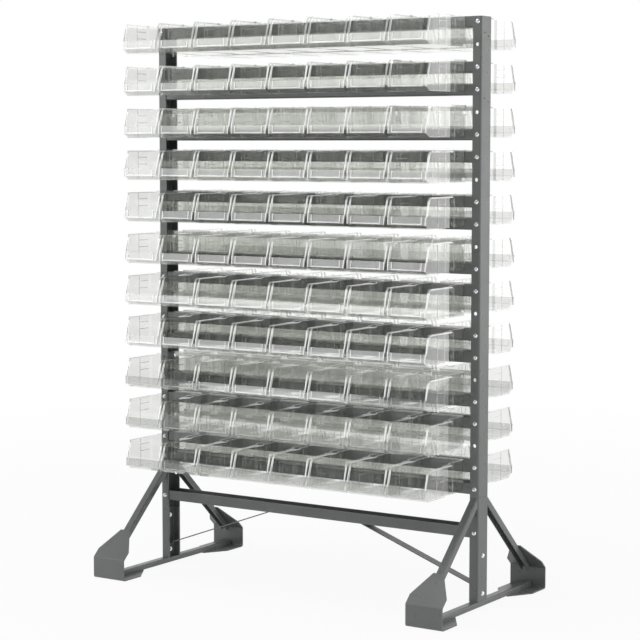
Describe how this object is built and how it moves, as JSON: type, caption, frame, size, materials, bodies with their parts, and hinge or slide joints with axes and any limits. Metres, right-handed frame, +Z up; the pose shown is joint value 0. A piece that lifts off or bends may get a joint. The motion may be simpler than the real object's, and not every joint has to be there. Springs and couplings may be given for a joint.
{
  "type": "double-sided bin rack",
  "caption": "Free-standing steel rack on splayed feet, with clear plastic bins hung in rows on cross rails on its front and back, for storing small parts.",
  "frame": {"origin": "on the floor, under the middle of the rack", "axes": "+Z up, front towards -Y, +X to the right seen from the front"},
  "size_m": [0.992, 0.504, 1.3615],
  "materials": {
    "grey_paint": "satin powder coat",
    "zinc": "bright zinc plate",
    "clear_plastic": "clear moulded plastic"
  },
  "bodies": {
    "frame": {"left_upright": "grey_paint", "right_upright": "grey_paint", "left_base_rail": "grey_paint", "right_base_rail": "grey_paint", "left_front_foot": "grey_paint", "right_front_foot": "grey_paint", "left_back_foot": "grey_paint", "right_back_foot": "grey_paint", "left_front_brace": "grey_paint", "right_front_brace": "grey_paint", "left_back_brace": "grey_paint", "right_back_brace": "grey_paint", "left_knee_strap": "grey_paint", "right_knee_strap": "grey_paint", "upper_rails": "grey_paint", "middle_rails": "grey_paint", "lower_rails": "grey_paint", "cross_channel": "grey_paint", "rail_bolts": "zinc", "rail_nuts": "zinc", "web_bolts": "zinc", "web_nuts": "zinc", "left_base_post": "grey_paint", "right_base_post": "grey_paint"},
    "top_front_bin_1": {"top_front_bin_1": "clear_plastic"},
    "top_front_bin_2": {"top_front_bin_2": "clear_plastic"},
    "top_front_bin_3": {"top_front_bin_3": "clear_plastic"},
    "top_front_bin_4": {"top_front_bin_4": "clear_plastic"},
    "top_front_bin_5": {"top_front_bin_5": "clear_plastic"},
    "top_front_bin_6": {"top_front_bin_6": "clear_plastic"},
    "top_front_bin_7": {"top_front_bin_7": "clear_plastic"},
    "top_front_bin_8": {"top_front_bin_8": "clear_plastic"},
    "front_bins_row_2": {"front_bins_row_2": "clear_plastic"},
    "front_bins_row_3": {"front_bins_row_3": "clear_plastic"},
    "front_bins_row_4": {"front_bins_row_4": "clear_plastic"},
    "front_bins_row_5": {"front_bins_row_5": "clear_plastic"},
    "front_bins_row_6": {"front_bins_row_6": "clear_plastic"},
    "front_bins_row_7": {"front_bins_row_7": "clear_plastic"},
    "front_bins_row_8": {"front_bins_row_8": "clear_plastic"},
    "front_bins_row_9": {"front_bins_row_9": "clear_plastic"},
    "front_bins_row_10": {"front_bins_row_10": "clear_plastic"},
    "front_bins_row_11": {"front_bins_row_11": "clear_plastic"},
    "back_bins_row_1": {"back_bins_row_1": "clear_plastic"},
    "back_bins_row_2": {"back_bins_row_2": "clear_plastic"},
    "back_bins_row_3": {"back_bins_row_3": "clear_plastic"},
    "back_bins_row_4": {"back_bins_row_4": "clear_plastic"},
    "back_bins_row_5": {"back_bins_row_5": "clear_plastic"},
    "back_bins_row_6": {"back_bins_row_6": "clear_plastic"},
    "back_bins_row_7": {"back_bins_row_7": "clear_plastic"},
    "back_bins_row_8": {"back_bins_row_8": "clear_plastic"},
    "back_bins_row_9": {"back_bins_row_9": "clear_plastic"},
    "back_bins_row_10": {"back_bins_row_10": "clear_plastic"},
    "back_bins_row_11": {"back_bins_row_11": "clear_plastic"}
  },
  "joints": [
    {"name": "top_front_bin_1_lift", "type": "slide", "parent": "frame", "child": "top_front_bin_1", "axis": [0, 0, 1], "range_m": [0, 0.02]},
    {"name": "top_front_bin_2_lift", "type": "slide", "parent": "frame", "child": "top_front_bin_2", "axis": [0, 0, 1], "range_m": [0, 0.02]},
    {"name": "top_front_bin_3_lift", "type": "slide", "parent": "frame", "child": "top_front_bin_3", "axis": [0, 0, 1], "range_m": [0, 0.02]},
    {"name": "top_front_bin_4_lift", "type": "slide", "parent": "frame", "child": "top_front_bin_4", "axis": [0, 0, 1], "range_m": [0, 0.02]},
    {"name": "top_front_bin_5_lift", "type": "slide", "parent": "frame", "child": "top_front_bin_5", "axis": [0, 0, 1], "range_m": [0, 0.02]},
    {"name": "top_front_bin_6_lift", "type": "slide", "parent": "frame", "child": "top_front_bin_6", "axis": [0, 0, 1], "range_m": [0, 0.02]},
    {"name": "top_front_bin_7_lift", "type": "slide", "parent": "frame", "child": "top_front_bin_7", "axis": [0, 0, 1], "range_m": [0, 0.02]},
    {"name": "top_front_bin_8_lift", "type": "slide", "parent": "frame", "child": "top_front_bin_8", "axis": [0, 0, 1], "range_m": [0, 0.02]},
    {"name": "front_bins_row_2_lift", "type": "slide", "parent": "frame", "child": "front_bins_row_2", "axis": [0, 0, 1], "range_m": [0, 0.02]},
    {"name": "front_bins_row_3_lift", "type": "slide", "parent": "frame", "child": "front_bins_row_3", "axis": [0, 0, 1], "range_m": [0, 0.02]},
    {"name": "front_bins_row_4_lift", "type": "slide", "parent": "frame", "child": "front_bins_row_4", "axis": [0, 0, 1], "range_m": [0, 0.02]},
    {"name": "front_bins_row_5_lift", "type": "slide", "parent": "frame", "child": "front_bins_row_5", "axis": [0, 0, 1], "range_m": [0, 0.02]},
    {"name": "front_bins_row_6_lift", "type": "slide", "parent": "frame", "child": "front_bins_row_6", "axis": [0, 0, 1], "range_m": [0, 0.02]},
    {"name": "front_bins_row_7_lift", "type": "slide", "parent": "frame", "child": "front_bins_row_7", "axis": [0, 0, 1], "range_m": [0, 0.02]},
    {"name": "front_bins_row_8_lift", "type": "slide", "parent": "frame", "child": "front_bins_row_8", "axis": [0, 0, 1], "range_m": [0, 0.02]},
    {"name": "front_bins_row_9_lift", "type": "slide", "parent": "frame", "child": "front_bins_row_9", "axis": [0, 0, 1], "range_m": [0, 0.02]},
    {"name": "front_bins_row_10_lift", "type": "slide", "parent": "frame", "child": "front_bins_row_10", "axis": [0, 0, 1], "range_m": [0, 0.02]},
    {"name": "front_bins_row_11_lift", "type": "slide", "parent": "frame", "child": "front_bins_row_11", "axis": [0, 0, 1], "range_m": [0, 0.02]},
    {"name": "back_bins_row_1_lift", "type": "slide", "parent": "frame", "child": "back_bins_row_1", "axis": [0, 0, 1], "range_m": [0, 0.02]},
    {"name": "back_bins_row_2_lift", "type": "slide", "parent": "frame", "child": "back_bins_row_2", "axis": [0, 0, 1], "range_m": [0, 0.02]},
    {"name": "back_bins_row_3_lift", "type": "slide", "parent": "frame", "child": "back_bins_row_3", "axis": [0, 0, 1], "range_m": [0, 0.02]},
    {"name": "back_bins_row_4_lift", "type": "slide", "parent": "frame", "child": "back_bins_row_4", "axis": [0, 0, 1], "range_m": [0, 0.02]},
    {"name": "back_bins_row_5_lift", "type": "slide", "parent": "frame", "child": "back_bins_row_5", "axis": [0, 0, 1], "range_m": [0, 0.02]},
    {"name": "back_bins_row_6_lift", "type": "slide", "parent": "frame", "child": "back_bins_row_6", "axis": [0, 0, 1], "range_m": [0, 0.02]},
    {"name": "back_bins_row_7_lift", "type": "slide", "parent": "frame", "child": "back_bins_row_7", "axis": [0, 0, 1], "range_m": [0, 0.02]},
    {"name": "back_bins_row_8_lift", "type": "slide", "parent": "frame", "child": "back_bins_row_8", "axis": [0, 0, 1], "range_m": [0, 0.02]},
    {"name": "back_bins_row_9_lift", "type": "slide", "parent": "frame", "child": "back_bins_row_9", "axis": [0, 0, 1], "range_m": [0, 0.02]},
    {"name": "back_bins_row_10_lift", "type": "slide", "parent": "frame", "child": "back_bins_row_10", "axis": [0, 0, 1], "range_m": [0, 0.02]},
    {"name": "back_bins_row_11_lift", "type": "slide", "parent": "frame", "child": "back_bins_row_11", "axis": [0, 0, 1], "range_m": [0, 0.02]}
  ]
}
